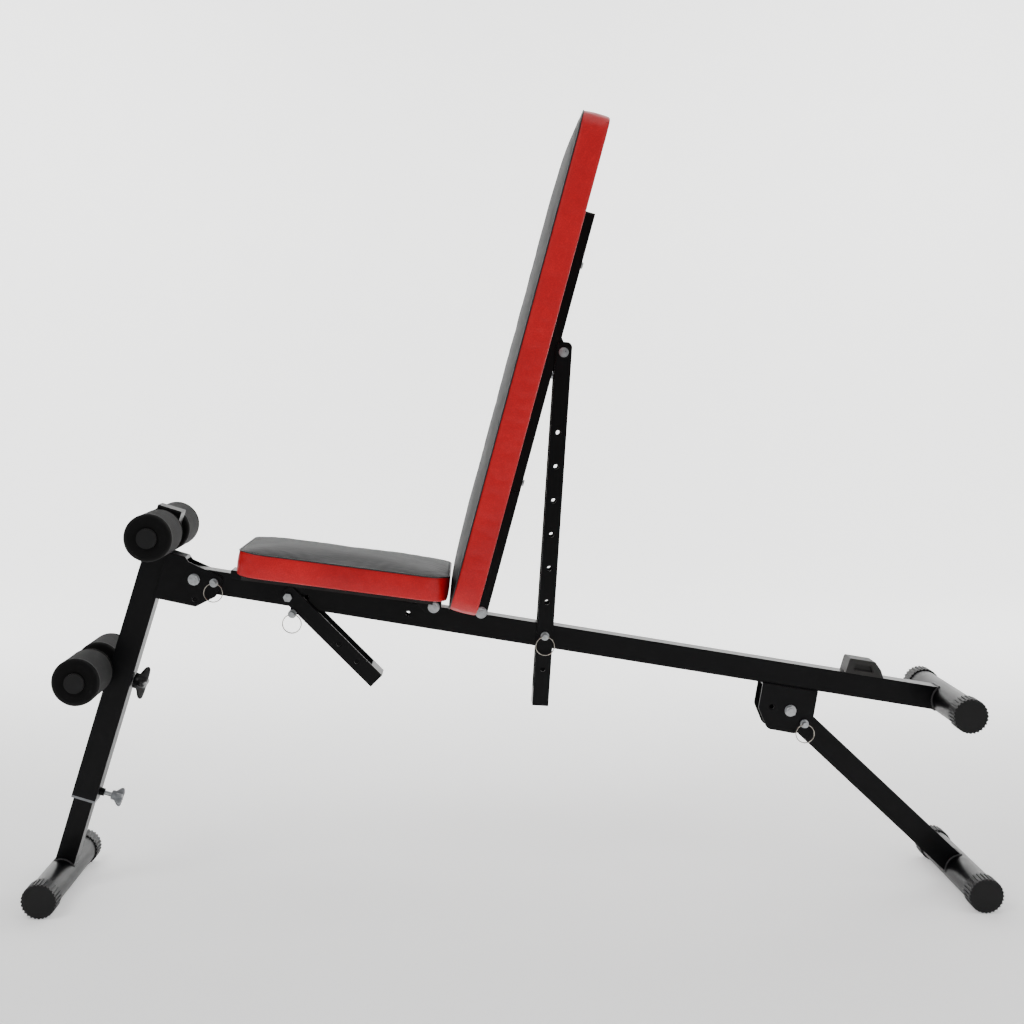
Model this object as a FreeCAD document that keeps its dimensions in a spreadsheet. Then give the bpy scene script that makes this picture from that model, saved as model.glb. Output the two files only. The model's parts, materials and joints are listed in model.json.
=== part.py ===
import FreeCAD, Part
import os
import re

import Sketcher

# Adjustable weight bench, in millimetres.
# Row frame: +X to the rear, +Y to the bench's right-hand side, +Z up. The origin is on the floor,
# under the middle of the bench. Almost every piece is drawn in side view (X, Z) in the frame of
# the member that it belongs to, and is symmetric about the middle plane Y = 0.

DOCUMENT = FreeCAD.newDocument("weight_bench")
SHEET = DOCUMENT.addObject("Spreadsheet::Sheet", "dims")

DIMENSIONS = {
    # feet: round cross tubes with ribbed caps
    "foot_x": 748.5, "foot_length": 324, "stop_length": 308, "foot_tube_radius": 25,
    "round_wall": 1.5, "cap_radius": 28, "cap_core_radius": 26.4, "cap_length": 34,
    "cap_end_wall": 3, "rib_width": 3, "rib_count": 28,
    # front post: outer tube, inner tube and grey bush
    "post_lean": 17.2, "post_size": 40, "post_wall": 1.5, "post_bottom": 135, "post_top": 633,
    "inner_size": 32, "inner_top": 262, "bush_top": 140, "bush_flange": 4, "bush_play": 0.1,
    "height_stud_up": 148.5, "top_plug_height": 3,
    # main beam and the pivots that stand on it, in beam coordinates (along, above centre line)
    "beam_size": 38, "beam_wall": 2, "beam_slope": 9.3, "beam_front": -24, "stop_along": 1258,
    "fold_across": 70.7, "fold_up": 536.1, "pin_reach": 32.9, "fold_lock": 80,
    "seat_along": 392.5, "seat_above": 17.9, "back_along": 470.5, "back_above": 21.5,
    "strut_hole_along": 580.2, "seat_hole_front": 184.8, "seat_hole_rear": 352.6,
    "seat_pin_along": 166.8, "seat_pin_below": 29.2, "bumper_front": 1082, "bumper_height": 25,
    "bumper_rear": 1146, "bumper_width": 44, "recess_depth": 6, "sleeve_radius": 8,
    # plates that straddle the beam
    "plate_inner": 20, "plate_outer": 23, "seat_strut_inner": 23.4, "seat_strut_outer": 26.4,
    "back_strut_inner": 20.4, "back_strut_outer": 23.4,
    # bolts and pins
    "bolt_radius": 5, "small_bolt_radius": 4, "bolt_play": 0.05, "washer_radius": 9.6,
    "washer_thick": 1.6, "side_gap": 0.3, "pin_gap": 0.5, "head_radius": 9, "head_thick": 6, "small_washer_radius": 8,
    "small_head_radius": 7.4, "small_head_thick": 5, "pin_radius": 4, "pin_play": 0.06,
    "pin_collar_radius": 7, "pin_collar": 4, "pin_stem_radius": 4.5, "pin_stem": 11,
    "ring_hole_radius": 2.1, "ring_hole_out": 5.5, "ring_radius": 15.3, "ring_wire": 1.1,
    # foam rollers
    "bar_radius": 12.5, "roller_radius": 37.7, "roller_start": 24, "roller_length": 117,
    "roller_play": 0.3, "plug_radius": 13, "plug_thick": 3, "upper_bar_across": -3,
    "upper_bar_up": 595.1, "lower_bar_across": -46.6, "lower_bar_up": 343.7,
    "saddle_half": 14, "saddle_width": 36, "stud_radius": 4, "stud_play": 0.1,
    "roller_end_gap": 0.5,
    # knobs
    "knob_hub_radius": 13, "knob_wing_reach": 28.5, "knob_wing_width": 13, "knob_start": 1.5,
    "knob_thick": 18, "star_hub_radius": 8, "star_reach": 16, "star_lobe_width": 9,
    "star_start": 20, "star_thick": 18, "boss_radius": 6.5, "boss_length": 8,
    # rear leg
    "leg_length": 398.5, "leg_slope": 43.05, "leg_size": 38, "leg_wall": 1.5,
    "leg_pin_along": 31.6, "bracket_web_up": 38.9, "web_thick": 3, "bracket_top": 567,
    "stored_fold": 149.3,
    # seat
    "seat_slope": 7.5, "seat_front": -317, "seat_back": 10, "cushion_half_width": 138,
    "seat_under": 23.5, "seat_crease": 63, "crown": 4, "face_round": 14, "board_thick": 6, "board_inset": 12,
    "plan_radius": 42, "channel_front": -335, "channel_flange_low": 4, "seat_lug_x": -237.9,
    "seat_lug_z": -14.6, "seat_strut_drop": 37.8, "seat_strut_length": 199.5,
    "seat_strut_low": 8.6, "seat_strut_high": 18.2, "seat_strut_first_hole": 112.4,
    "seat_strut_pitch": 41.2,
    # backrest
    "back_lean": 15, "back_tube_front": -10.7, "back_tube_rear": 10, "back_tube_start": 152,
    "back_tube_top": 670, "back_tube_wall": 1.5, "link_top": 205, "back_low": 5, "back_high": 812,
    "back_face": -54.5, "back_board_face": -17, "strut_bolt_back": 19, "strut_bolt_up": 445,
    "strut_lean": 3.55, "strut_half_width": 13.3, "strut_length": 581, "strut_over": 17,
    "strut_pin_down": 464.7, "strut_hole_pitch": 55.7, "strut_web_length": 25,
}

STRUT_HOLES = range(-6, 2)
SEAT_STRUT_HOLES = range(2)


def fill_sheet():
    """Write every driving dimension into the sheet, one plain number and one alias per row."""
    for row, (alias, value) in enumerate(DIMENSIONS.items(), start=1):
        SHEET.set(f"A{row}", alias)
        SHEET.set(f"B{row}", str(value))
        SHEET.setAlias(f"B{row}", alias)
    DOCUMENT.recompute()


def bound(text):
    """Turn words such as post_size / 2 into an expression that reads the sheet."""
    names = "|".join(sorted(DIMENSIONS, key=len, reverse=True))
    return re.sub(rf"(?<![\w.])({names})(?!\w)", r"dims.\1", str(text))


def number(text):
    """Value of an expression, as a plain number."""
    return float(SHEET.evalExpression(bound(text)))


# A frame is an origin (X, Z) and an angle about +Y in degrees, all three as expressions.
def carry(frame, across, up, extra_angle="0"):
    """Frame whose origin lies at (across, up) in another frame, turned by extra_angle."""
    origin_x, origin_z, angle = frame
    turn = f"(({angle}) * 1deg)"
    new_x = f"({origin_x}) + ({across}) * cos{turn} + ({up}) * sin{turn}"
    new_z = f"({origin_z}) - ({across}) * sin{turn} + ({up}) * cos{turn}"
    return (new_x, new_z, f"({angle}) + ({extra_angle})")


def level(frame):
    """The same origin with no turn."""
    return (frame[0], frame[1], "0")


FRONT_FOOT = ("-foot_x", "cap_radius", "0")
REAR_FOOT = ("foot_x", "cap_radius", "0")
POST = ("-foot_x", "cap_radius", "post_lean")
LOWER_KNOB = carry(POST, "post_size / 2", "lower_bar_up", "90")
HEIGHT_KNOB = carry(POST, "post_size / 2", "height_stud_up", "90")
FRONT_FOLD = carry(POST, "fold_across", "fold_up")
BEAM = (FRONT_FOLD[0], FRONT_FOLD[1], "beam_slope")
REAR_STOP = level(carry(BEAM, "stop_along", "0"))
LEG = (
    "foot_x - leg_length * cos(leg_slope * 1deg)",
    "cap_radius + leg_length * sin(leg_slope * 1deg)",
    "leg_slope",
)
LEG_BRACKET = (LEG[0], LEG[1], "beam_slope")
SEAT = carry(BEAM, "seat_along", "seat_above", "seat_slope - beam_slope")
SEAT_STRUT = carry(SEAT, "seat_lug_x", "seat_lug_z", "seat_strut_drop")
BACK = carry(BEAM, "back_along", "back_above", "back_lean - beam_slope")
BACK_STRUT = carry(BACK, "strut_bolt_back", "strut_bolt_up", "strut_lean - back_lean")

PIECES = {}


def place(piece, frame, across="0", up="0"):
    """Bind a piece's Placement to a point of a frame, and keep the piece for export."""
    origin_x, origin_z, angle = carry(frame, across, up)
    piece.Placement = FreeCAD.Placement(FreeCAD.Vector(), FreeCAD.Rotation(FreeCAD.Vector(0, 1, 0), 1))
    piece.setExpression("Placement.Base.x", bound(origin_x))
    piece.setExpression("Placement.Base.z", bound(origin_z))
    piece.setExpression("Placement.Rotation.Angle", bound(angle))
    PIECES[piece.Label] = piece
    return piece


def new_body(label):
    """Empty PartDesign body that carries the piece's name."""
    body = DOCUMENT.addObject("PartDesign::Body", label)
    body.Label = label
    return body


def bind_point(sketch, geometry, vertex, point):
    """Bind one sketch point to two expressions, measured from the sketch's origin."""
    for kind, text in zip(("DistanceX", "DistanceY"), point):
        index = sketch.addConstraint(
            Sketcher.Constraint(kind, -1, 1, geometry, vertex, number(text))
        )
        sketch.setExpression(f"Constraints[{index}]", bound(text))


def add_outline(sketch, points):
    """Closed outline of straight lines through points given as expressions."""
    corners = [FreeCAD.Vector(number(a), number(b), 0) for a, b in points]
    first = sketch.GeometryCount
    count = len(corners)
    for i in range(count):
        sketch.addGeometry(Part.LineSegment(corners[i], corners[(i + 1) % count]))
    for i in range(count):
        following = first + (i + 1) % count
        sketch.addConstraint(Sketcher.Constraint("Coincident", first + i, 2, following, 1))
    for i in range(count):
        bind_point(sketch, first + i, 1, points[i])


def add_circle(sketch, centre, radius):
    """Circle with its centre and radius given as expressions."""
    middle = FreeCAD.Vector(number(centre[0]), number(centre[1]), 0)
    circle = Part.Circle(middle, FreeCAD.Vector(0, 0, 1), number(radius))
    index = sketch.addGeometry(circle)
    constraint = sketch.addConstraint(Sketcher.Constraint("Radius", index, number(radius)))
    sketch.setExpression(f"Constraints[{constraint}]", bound(radius))
    bind_point(sketch, index, 3, centre)


def draw(body, shapes, plane="XZ_Plane", offset="0"):
    """Sketch on an origin plane of the body. A shape is an outline or (centre, radius)."""
    sketch = body.newObject("Sketcher::SketchObject", f"{body.Name}_sketch")
    support = [feature for feature in body.Origin.OriginFeatures if feature.Role == plane][0]
    sketch.AttachmentSupport = [(support, "")]
    sketch.MapMode = "FlatFace"
    sketch.setExpression("AttachmentOffset.Base.z", bound(offset))
    for shape in shapes:
        if len(shape) == 2:
            add_circle(sketch, *shape)
        else:
            add_outline(sketch, shape)
    return sketch


def pad(body, shapes, length, plane="XZ_Plane", offset="0", side="Symmetric"):
    """Add material: symmetric about the sketch's plane, or to one side of it."""
    feature = body.newObject("PartDesign::Pad", f"{body.Name}_pad")
    feature.Profile = draw(body, shapes, plane, offset)
    feature.SideType = side
    feature.setExpression("Length", bound(length))
    DOCUMENT.recompute()
    return feature


def pocket(body, shapes, length, plane="XZ_Plane", offset="0"):
    """Take material away, symmetric about the sketch's plane, and prove that it cut."""
    before = body.Tip.Shape.Volume
    feature = body.newObject("PartDesign::Pocket", f"{body.Name}_pocket")
    feature.Profile = draw(body, shapes, plane, offset)
    feature.SideType = "Symmetric"
    feature.setExpression("Length", bound(length))
    DOCUMENT.recompute()
    if feature.Shape.Volume >= before:
        raise ValueError(f"a pocket in {body.Label} cut nothing")
    return feature


def round_corners(body, pads, corners, radius):
    """Fillet the edges of a side-view pad that run along Y through the given corners."""
    edges = []
    wanted = [(number(a), number(b)) for a, b in corners]
    for index, edge in enumerate(pads.Shape.Edges, start=1):
        start, end = edge.Vertexes[0].Point, edge.Vertexes[-1].Point
        along_y = abs(start.x - end.x) + abs(start.z - end.z) < 1e-6
        near = any(abs(start.x - a) + abs(start.z - b) < 1e-3 for a, b in wanted)
        if along_y and near:
            edges.append(f"Edge{index}")
    feature = body.newObject("PartDesign::Fillet", f"{body.Name}_fillet")
    feature.Base = (pads, edges)
    feature.setExpression("Radius", bound(radius))
    DOCUMENT.recompute()
    return feature


def minus(text):
    """The opposite of an expression."""
    return f"-({text})"


def rectangle(x_low, x_high, z_low, z_high):
    """Outline of a rectangle in side view."""
    return [(x_low, z_low), (x_high, z_low), (x_high, z_high), (x_low, z_high)]


CENTRE = ("0", "0")
WIDE = "4 * foot_length"


# ---------------------------------------------------------------- shared kinds of piece

def cross_tube(label, frame, length, radius="foot_tube_radius", wall="round_wall"):
    """Round tube along Y."""
    body = new_body(label)
    pad(body, [(CENTRE, radius)], length)
    pocket(body, [(CENTRE, f"{radius} - {wall}")], WIDE)
    return place(body, frame)


def ribbed_caps(label, frame, overall, tube):
    """Pair of ribbed end caps, each a cup over one end of a cross tube."""
    body = new_body(label)
    pad(body, [(CENTRE, "cap_core_radius")], overall)
    low, high = "-cap_radius", "-cap_core_radius + 1"
    rib = pad(body, [rectangle("-rib_width / 2", "rib_width / 2", low, high)], overall)
    pattern = body.newObject("PartDesign::PolarPattern", f"{label}_ribs")
    pattern.Originals = [rib]
    axis = [feature for feature in body.Origin.OriginFeatures if feature.Role == "Y_Axis"][0]
    pattern.Axis = (axis, [""])
    pattern.Angle = 360
    pattern.setExpression("Occurrences", bound("rib_count"))
    body.Tip = pattern
    DOCUMENT.recompute()
    pocket(body, [(CENTRE, "cap_radius + 2")], f"{overall} - 2 * cap_length")
    pocket(body, [(CENTRE, "foot_tube_radius")], tube)
    return place(body, frame)


def hexagon(radius):
    """Outline of a hexagon about the sketch's origin."""
    return [(f"{radius} * cos({60 * i}deg)", f"{radius} * sin({60 * i}deg)") for i in range(6)]


def through_bolt(label, frame, grip, small=False, across="0", up="0"):
    """Bolt along Y with its head, nut and washers, as one solid about the middle plane."""
    kind = "small_" if small else ""
    shank = "small_bolt_radius" if small else "bolt_radius"
    body = new_body(label)
    clamped = f"({grip}) + 2 * washer_thick"
    pad(body, [hexagon(f"{kind}head_radius")], f"{clamped} + 2 * {kind}head_thick")
    pad(body, [(CENTRE, f"{kind}washer_radius")], clamped)
    pad(body, [(CENTRE, shank)], f"{clamped} + 2 * {kind}head_thick + 4")
    pocket(body, [(CENTRE, "washer_radius + 6"), (CENTRE, shank)], grip)
    return place(body, frame, across, up)


def square_tube(body, outline, core, width, wall):
    """Rectangular tube drawn in side view, open at both ends."""
    outside = pad(body, [outline], width)
    pocket(body, [core], f"{width} - 2 * {wall}")
    return outside


# ---------------------------------------------------------------- frame: beam and rear

def build_beam():
    """Main beam with its pin holes, sleeve notches and coped rear end."""
    body = new_body("main_beam")
    half = "beam_size / 2"
    outline = rectangle("beam_front", "stop_along", minus(half), half)
    core = rectangle("beam_front - 5", "stop_along + 5", f"-{half} + beam_wall", f"{half} - beam_wall")
    square_tube(body, outline, core, "beam_size", "beam_wall")
    holes = [(("pin_reach", "0"), "pin_radius + pin_play"),
             (("seat_hole_front", "0"), "pin_radius + pin_play"),
             (("seat_hole_rear", "0"), "pin_radius + pin_play"),
             (("strut_hole_along", "0"), "pin_radius + pin_play"),
             (CENTRE, "bolt_radius + bolt_play"),
             (("seat_along", "seat_above"), "sleeve_radius"),
             (("back_along", "back_above"), "sleeve_radius"),
             (("stop_along", "0"), "foot_tube_radius")]
    pocket(body, holes, WIDE)
    place(body, BEAM)
    plug = new_body("beam_front_plug")
    outer = rectangle("beam_front - 3", "beam_front", minus(half), half)
    pad(plug, [outer], "beam_size")
    place(plug, BEAM)


def build_sleeves():
    """Pivot sleeves welded into notches in the top of the beam."""
    for label, frame in (("seat_pivot_sleeve", SEAT), ("backrest_pivot_sleeve", BACK)):
        body = new_body(label)
        pad(body, [(CENTRE, "sleeve_radius")], "beam_size + 1")
        pocket(body, [(CENTRE, "bolt_radius")], WIDE)
        place(body, frame)


def build_seat_pin_sleeve():
    """Short tube on a tab under the beam, where the seat's pull pin is parked."""
    body = new_body("seat_pin_sleeve")
    pad(body, [(CENTRE, "pin_collar_radius")], "beam_size")
    pad(body, [rectangle("-5", "5", "0", "seat_pin_below - beam_size / 2")], "beam_size")
    pocket(body, [(CENTRE, "pin_radius + pin_play")], WIDE)
    place(body, BEAM, "seat_pin_along", "-seat_pin_below")


def build_bumper():
    """Rubber block that the backrest lies on, with a recess in each side."""
    body = new_body("backrest_rest_bumper")
    foot, top = "0", "bumper_height"
    length = "(bumper_rear - bumper_front)"
    outline = [("0", foot), (length, foot), (f"{length} - 6", "bumper_height / 2"),
               (f"{length} - 18", top), ("3", top)]
    solid = pad(body, [outline], "bumper_width")
    round_corners(body, solid, [outline[3], outline[4]], "3")
    recess = [("13", "7"), (f"{length} - 19", "7"), (f"{length} - 24", "17"), ("13", "17")]
    for side in ("bumper_width / 2", "-bumper_width / 2"):
        pocket(body, [recess], "2 * recess_depth", "XZ_Plane", side)
    place(body, BEAM, "bumper_front", "beam_size / 2")


def build_leg_bracket():
    """Folded U plate under the beam that carries the rear leg's bolt and its pin holes."""
    body = new_body("rear_leg_bracket")
    top = "bracket_web_up"
    outline = [("-53", top), ("-53", "-4"), ("-33", "-36"), ("15", "-37"), ("40", "-8"), ("40", top)]
    solid = pad(body, [outline], "2 * plate_outer")
    round_corners(body, solid, outline[1:5], "12")
    gap = rectangle("-70", "70", "-60", f"{top} - web_thick")
    pocket(body, [gap], "2 * plate_inner")
    reach = "leg_pin_along"
    folded = "leg_slope - beam_slope + stored_fold"
    holes = [(CENTRE, "bolt_radius"),
             ((f"{reach} * cos((leg_slope - beam_slope) * 1deg)",
               f"-{reach} * sin((leg_slope - beam_slope) * 1deg)"), "pin_radius + pin_play"),
             ((f"{reach} * cos(({folded}) * 1deg)",
               f"-{reach} * sin(({folded}) * 1deg)"), "pin_radius + pin_play")]
    pocket(body, holes, WIDE)
    place(body, LEG_BRACKET)


def build_frame():
    """Everything that is fixed to the main beam."""
    build_beam()
    build_sleeves()
    build_seat_pin_sleeve()
    build_bumper()
    build_leg_bracket()
    inside = "stop_length - 2 * cap_end_wall"
    cross_tube("rear_stop_tube", REAR_STOP, inside)
    ribbed_caps("rear_stop_caps", REAR_STOP, "stop_length", inside)
    through_bolt("rear_leg_bolt", LEG, "2 * plate_outer")
    through_bolt("seat_pivot_bolt", SEAT, "2 * plate_outer + 2 * side_gap")
    through_bolt("backrest_pivot_bolt", BACK, "2 * plate_outer + 2 * side_gap")


# ---------------------------------------------------------------- front leg

def build_post():
    """Outer tube of the front leg, its top plug and its grey bush."""
    half = "post_size / 2"
    body = new_body("front_post")
    inner = f"{half} - post_wall"
    outline = rectangle(minus(half), half, "post_bottom", "post_top")
    core = rectangle(minus(inner), inner, "post_bottom - 5", "post_top + 5")
    square_tube(body, outline, core, "post_size", "post_wall")
    pocket(body, [(("upper_bar_across", "upper_bar_up"), "bar_radius")], WIDE)
    stud = "stud_radius + stud_play"
    pocket(body, [(("0", "lower_bar_up"), stud)], "3 * post_size", "YZ_Plane")
    pocket(body, [(("0", "height_stud_up"), stud)], "4 * post_wall", "YZ_Plane", half)
    place(body, POST)

    plug = new_body("post_top_plug")
    outer = rectangle(minus(half), half, "post_top", "post_top + top_plug_height")
    pad(plug, [outer], "post_size")
    place(plug, POST)

    bush = new_body("post_bush")
    shell = f"{inner} - bush_play"
    low = "post_bottom - bush_flange"
    pad(bush, [rectangle(minus(shell), shell, low, "bush_top")], f"2 * ({shell})")
    pad(bush, [rectangle(minus(half), half, low, "post_bottom")], "post_size")
    bore = "inner_size / 2 + bush_play"
    pocket(bush, [rectangle(minus(bore), bore, f"{low} - 5", "bush_top + 5")], f"2 * ({bore})")
    place(bush, POST)


def build_front_bracket():
    """Two plates with a top flange, welded to the post, between which the beam's end turns."""
    body = new_body("front_bracket")
    outline = [("16", "488"), ("86", "494"), ("112", "519"), ("115", "538"), ("115", "553"),
               ("54", "561"), ("47", "bracket_top"), ("16", "bracket_top")]
    solid = pad(body, [outline], "2 * plate_outer")
    round_corners(body, solid, outline[1:5], "5")
    face, flange = "post_size / 2", "bracket_top - web_thick"
    gap = [("0", "470"), ("140", "470"), ("140", flange), (face, flange), (face, "580"), ("0", "580")]
    pocket(body, [gap], "2 * plate_inner")
    locked = "(post_lean - beam_slope)"
    spare = f"({locked} - fold_lock)"
    holes = [(("fold_across", "fold_up"), "bolt_radius + bolt_play")]
    for turn in (locked, spare):
        holes.append(((f"fold_across + pin_reach * cos({turn} * 1deg)",
                       f"fold_up + pin_reach * sin({turn} * 1deg)"), "pin_radius + pin_play"))
    pocket(body, holes, WIDE)
    place(body, POST)


def build_roller_bars():
    """Upper bar through the post, lower bar on a saddle in front of it, and their end plugs."""
    reach = "2 * (roller_start + roller_length + roller_end_gap)"
    for name in ("upper", "lower"):
        spot = (f"{name}_bar_across", f"{name}_bar_up")
        bar = new_body(f"{name}_roller_bar")
        pad(bar, [(CENTRE, "bar_radius")], reach)
        pocket(bar, [(CENTRE, "bar_radius - round_wall")], WIDE)
        place(bar, POST, *spot)
        plugs = new_body(f"{name}_bar_plugs")
        pad(plugs, [(CENTRE, "plug_radius + 3")], f"{reach} + 2 * plug_thick")
        pocket(plugs, [(CENTRE, "roller_radius")], reach)
        place(plugs, POST, *spot)
    saddle = new_body("lower_bar_saddle")
    low, high = "lower_bar_up - saddle_half", "lower_bar_up + saddle_half"
    pad(saddle, [rectangle("lower_bar_across + 4", "-post_size / 2", low, high)], "saddle_width")
    pocket(saddle, [(("lower_bar_across", "lower_bar_up"), "bar_radius")], WIDE)
    hole = (("0", "lower_bar_up"), "stud_radius + stud_play")
    pocket(saddle, [hole], "4 * post_size", "YZ_Plane")
    place(saddle, POST)


def build_rollers():
    """Four foam rollers, free to turn on the bars."""
    for name in ("upper", "lower"):
        for side, offset in (("left", "roller_start"), ("right", "-roller_start - roller_length")):
            body = new_body(f"{name}_{side}_roller")
            rings = [(CENTRE, "roller_radius"), (CENTRE, "bar_radius + roller_play")]
            pad(body, rings, "roller_length", "XZ_Plane", offset, "One side")
            place(body, POST, f"{name}_bar_across", f"{name}_bar_up")


def winged_knob(label, frame, hub, reach, width, wings, start, thick, stud_inside):
    """Knob about its own Z axis: a hub, wings on its outer half, and a threaded stud."""
    body = new_body(label)
    pad(body, [(CENTRE, hub)], thick, "XY_Plane", start, "One side")
    wing = pad(body, [rectangle("0", reach, f"-{width} / 2", f"{width} / 2")], f"{thick} / 2",
               "XY_Plane", f"{start} + {thick} / 2", "One side")
    pattern = body.newObject("PartDesign::PolarPattern", f"{label}_wings")
    pattern.Originals = [wing]
    axis = [feature for feature in body.Origin.OriginFeatures if feature.Role == "Z_Axis"][0]
    pattern.Axis = (axis, [""])
    pattern.Angle = 360
    pattern.Occurrences = wings
    body.Tip = pattern
    DOCUMENT.recompute()
    pad(body, [(CENTRE, "stud_radius")], f"{stud_inside} + {start} + 1", "XY_Plane",
        f"-({stud_inside})", "One side")
    return place(body, frame)


def build_knobs():
    """Roller knob whose stud crosses the post, and the height knob on its welded boss."""
    winged_knob("lower_roller_knob", LOWER_KNOB, "knob_hub_radius", "knob_wing_reach",
                "knob_wing_width", 4, "knob_start", "knob_thick", "post_size + 11")
    winged_knob("height_knob", HEIGHT_KNOB, "star_hub_radius", "star_reach",
                "star_lobe_width", 6, "star_start", "star_thick",
                "post_size / 2 - inner_size / 2 - pin_gap")
    boss = new_body("height_knob_boss")
    pad(boss, [(CENTRE, "boss_radius"), (CENTRE, "stud_radius + stud_play")], "boss_length",
        "XY_Plane", "0", "One side")
    place(boss, HEIGHT_KNOB)


def build_front_leg():
    """The folding front leg, with all that it carries."""
    build_post()
    build_front_bracket()
    build_roller_bars()
    build_rollers()
    build_knobs()
    through_bolt("front_fold_bolt", FRONT_FOLD, "2 * plate_outer")


def build_front_foot():
    """Inner tube that slides in the post, with the front foot at its lower end."""
    body = new_body("inner_post")
    half = "inner_size / 2"
    inner = f"{half} - post_wall"
    square_tube(body, rectangle(minus(half), half, "0", "inner_top"),
                rectangle(minus(inner), inner, "-5", "inner_top + 5"), "inner_size", "post_wall")
    pocket(body, [(CENTRE, "foot_tube_radius")], WIDE)
    place(body, POST)
    inside = "foot_length - 2 * cap_end_wall"
    cross_tube("front_foot_tube", FRONT_FOOT, inside)
    ribbed_caps("front_foot_caps", FRONT_FOOT, "foot_length", inside)


# ---------------------------------------------------------------- rear leg

def build_rear_leg():
    """Folding rear leg with its cross foot."""
    body = new_body("rear_leg_tube")
    half = "leg_size / 2"
    inner = f"{half} - leg_wall"
    outline = rectangle(minus(half), "leg_length", minus(half), half)
    core = rectangle("-leg_size", "leg_length + 5", minus(inner), inner)
    solid = pad(body, [outline], "leg_size")
    round_corners(body, solid, [outline[0], outline[3]], f"{half} - 2")
    pocket(body, [core], "leg_size - 2 * leg_wall")
    holes = [(CENTRE, "bolt_radius + bolt_play"),
             (("leg_pin_along", "0"), "pin_radius + pin_play"),
             (("leg_length", "0"), "foot_tube_radius")]
    pocket(body, holes, WIDE)
    place(body, LEG)
    inside = "foot_length - 2 * cap_end_wall"
    cross_tube("rear_foot_tube", REAR_FOOT, inside)
    ribbed_caps("rear_foot_caps", REAR_FOOT, "foot_length", inside)


# ---------------------------------------------------------------- cushions and boards

def cushion_shape(low, high, base, edge, crown, corner):
    """Padded slab over [low, high] along and base to edge in depth, with a domed face.

    The slab's plan corners are rounded, and its face rises by crown in the middle.
    """
    half = number("cushion_half_width")
    slab = Part.makeBox(high - low, 2 * half, edge - base + crown, FreeCAD.Vector(low, -half, base))
    corners = [e for e in slab.Edges if abs(e.Vertexes[0].Z - e.Vertexes[1].Z) > 1]
    slab = slab.makeFillet(corner, corners)
    radius = (half * half + crown * crown) / (2 * crown)
    dome = Part.makeCylinder(radius, high - low, FreeCAD.Vector(low, 0, edge + crown - radius),
                             FreeCAD.Vector(1, 0, 0))
    slab = slab.common(dome)
    face_edges = [e for e in slab.Edges if e.BoundBox.ZMin > edge - 1]
    return slab.makeFillet(number("face_round"), face_edges)


def solid_feature(label, shape, frame):
    """Part feature for a form that neither sketches nor primitives fit."""
    feature = DOCUMENT.addObject("Part::Feature", label)
    feature.Label = label
    feature.Shape = shape
    return place(feature, frame)


def build_seat():
    """Seat: cushion, board, channel over the beam, rivets, screws, rubber pad and strut."""
    shape = cushion_shape(number("seat_front"), number("seat_back"), number("seat_under"),
                          number("seat_crease"), number("crown"), number("plan_radius"))
    solid_feature("seat_cushion", shape, SEAT)

    board = new_body("seat_board")
    low, high = "seat_front + board_inset", "seat_back - board_inset"
    pad(board, [rectangle(low, high, "seat_under - board_thick", "seat_under")],
        "2 * (cushion_half_width - board_inset)")
    place(board, SEAT)

    channel = new_body("seat_channel")
    top = "seat_under - board_thick"
    low_edge = "channel_flange_low"
    lug = "seat_lug_x"
    outline = [("channel_front", top), ("channel_front", low_edge), (f"{lug} - 26", low_edge),
               (f"{lug} - 11", "seat_lug_z - 11"), (f"{lug} + 11", "seat_lug_z - 11"),
               (f"{lug} + 26", low_edge), ("-30", low_edge), ("-13", "-11"), ("12", "-11"),
               ("12", top)]
    solid = pad(channel, [outline], "2 * plate_outer")
    round_corners(channel, solid, [outline[1], outline[3], outline[4], outline[7], outline[8]], "5")
    gap = rectangle("channel_front - 5", "30", "-40", f"{top} - web_thick")
    pocket(channel, [gap], "2 * plate_inner")
    pocket(channel, [(CENTRE, "bolt_radius + bolt_play"),
                     (("seat_lug_x", "seat_lug_z"), "small_bolt_radius")], WIDE)
    place(channel, SEAT)

    rivets = new_body("seat_strut_rivets")
    outside = "seat_strut_outer + side_gap"
    pad(rivets, [hexagon("small_head_radius")], f"2 * ({outside} + small_head_thick)")
    ring = [(CENTRE, "small_head_radius + 6"), (CENTRE, "small_bolt_radius")]
    pocket(rivets, [ring[0]], "2 * plate_inner")
    pocket(rivets, ring, f"2 * ({outside})")
    place(rivets, SEAT, "seat_lug_x", "seat_lug_z")

    pad_body = new_body("seat_rest_pad")
    pad(pad_body, [rectangle("70", "110", "beam_size / 2", "beam_size / 2 + 3")], "30")
    place(pad_body, BEAM)

    screws = new_body("seat_screws")
    web = f"{top} - web_thick"
    spots = [(f"{x}", "0") for x in (-250, -155, -60)]
    pad(screws, [(spot, "5") for spot in spots], "2", "XY_Plane", f"{web} - 2", "One side")
    place(screws, SEAT)


def build_seat_strut():
    """Seat strut: two holed plates beside the beam, joined by a web at the free end."""
    body = new_body("seat_strut")
    low, high = "-seat_strut_low", "seat_strut_high"
    end = "seat_strut_length"
    outline = rectangle("-13", end, low, high)
    solid = pad(body, [outline], "2 * seat_strut_outer")
    round_corners(body, solid, [outline[0], outline[3]], "9")
    gap = [("-30", "-30"), (f"{end} + 20", "-30"), (f"{end} + 20", f"{high} - web_thick"),
           (f"{end} - 24", f"{high} - web_thick"), (f"{end} - 24", "40"), ("-30", "40")]
    pocket(body, [gap], "2 * seat_strut_inner")
    holes = [(CENTRE, "small_bolt_radius + bolt_play")]
    middle = "(seat_strut_high - seat_strut_low) / 2"
    for step in SEAT_STRUT_HOLES:
        spot = (f"seat_strut_first_hole + {step} * seat_strut_pitch", middle)
        holes.append((spot, "pin_radius + pin_play"))
    pocket(body, holes, WIDE)
    place(body, SEAT_STRUT)


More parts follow.
